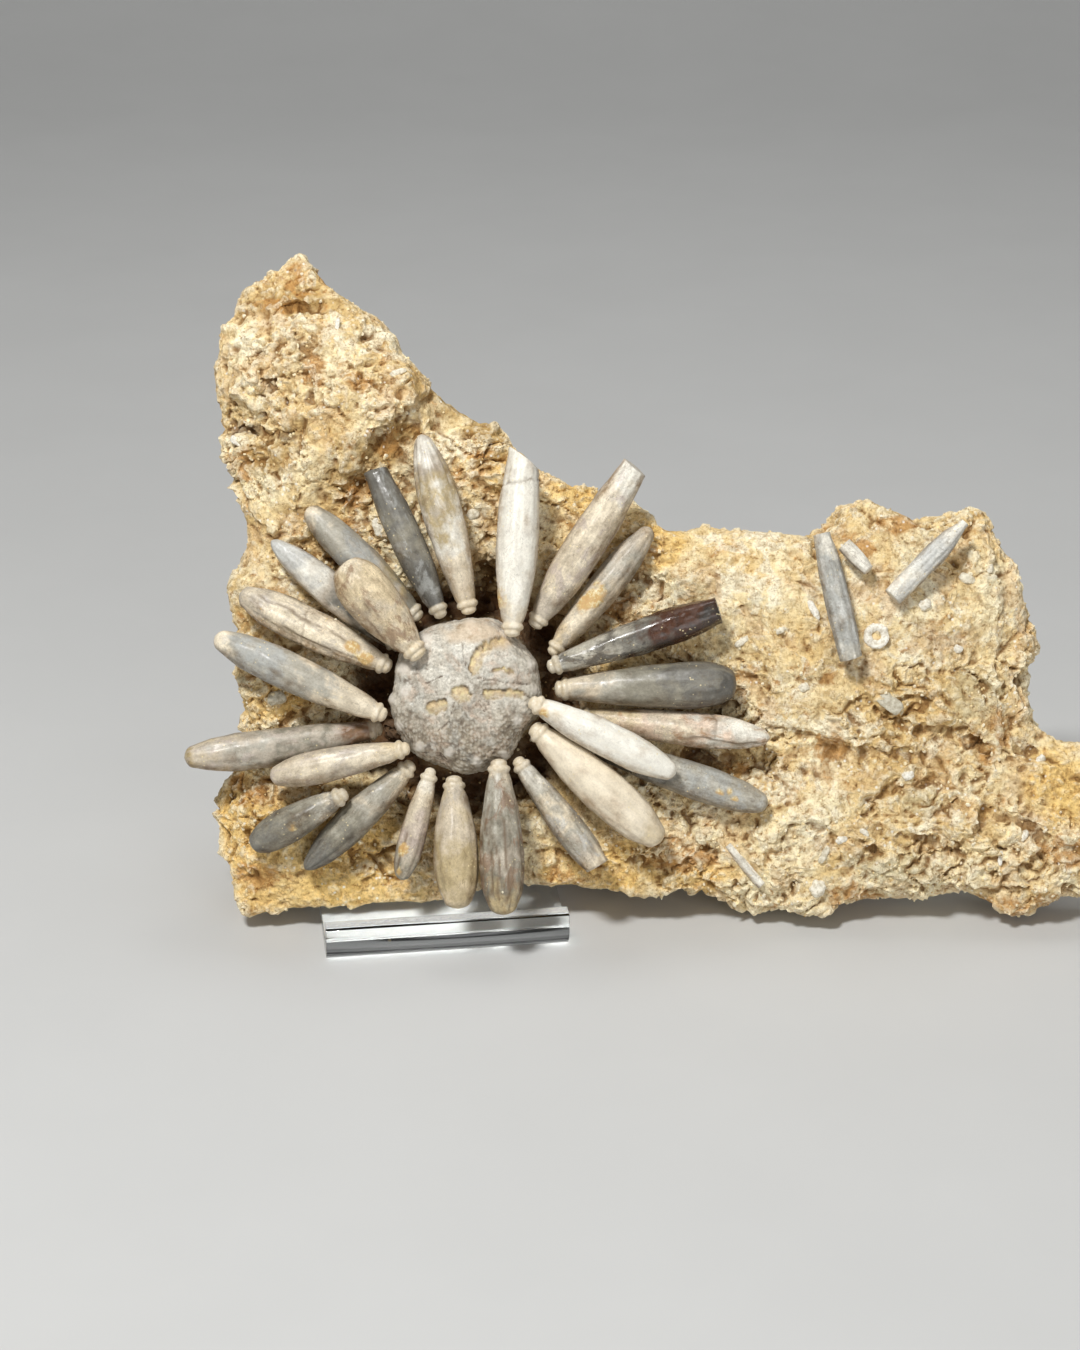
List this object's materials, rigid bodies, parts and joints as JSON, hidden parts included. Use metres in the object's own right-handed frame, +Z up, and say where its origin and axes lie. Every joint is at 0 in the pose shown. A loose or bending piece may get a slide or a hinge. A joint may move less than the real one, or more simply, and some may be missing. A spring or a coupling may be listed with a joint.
{
  "type": "fossil sea urchin",
  "caption": "Fossil club-spined sea urchin, spines spread like rays round a low shell, on a rough limestone block that leans back on a clear acrylic easel.",
  "frame": {"origin": "on the table, under the middle of the whole object's box", "axes": "+Z up from the table, +X to the right along the block's long side, +Y away from the viewer, towards the easel's hind leg"},
  "size_m": [0.2486, 0.1076, 0.1643],
  "materials": {
    "limestone": "rough broken limestone, ochre and cream with rust stains",
    "shell": "granular grey-brown fossil calcite",
    "spine_pale": "smooth cream calcite, faintly ribbed",
    "spine_tan": "smooth tan calcite, faintly ribbed",
    "spine_grey": "satin grey calcite, faintly ribbed",
    "spine_dark": "polished dark blue-grey calcite",
    "acrylic": "clear, with saw-cut edges"
  },
  "bodies": {
    "root": {"limestone_block": "limestone", "urchin_shell": "shell", "spine_01": "spine_pale", "spine_02": "spine_pale", "spine_03": "spine_grey", "spine_04": "spine_tan", "spine_05": "spine_dark", "spine_06": "spine_grey", "spine_07": "spine_pale", "spine_08": "spine_pale", "spine_09": "spine_grey", "spine_10": "spine_pale", "spine_11": "spine_grey", "spine_12": "spine_tan", "spine_13": "spine_tan", "spine_14": "spine_tan", "spine_15": "spine_grey", "spine_16": "spine_grey", "spine_17": "spine_tan", "spine_18": "spine_grey", "spine_19": "spine_grey", "spine_20": "spine_pale", "spine_21": "spine_pale", "spine_22": "spine_tan", "spine_23": "spine_grey", "spine_24": "spine_dark", "loose_spine_long": "spine_grey", "loose_spine_short": "spine_pale", "loose_spine_pale": "spine_pale", "loose_sliver": "spine_pale", "easel": "acrylic"}
  },
  "joints": []
}
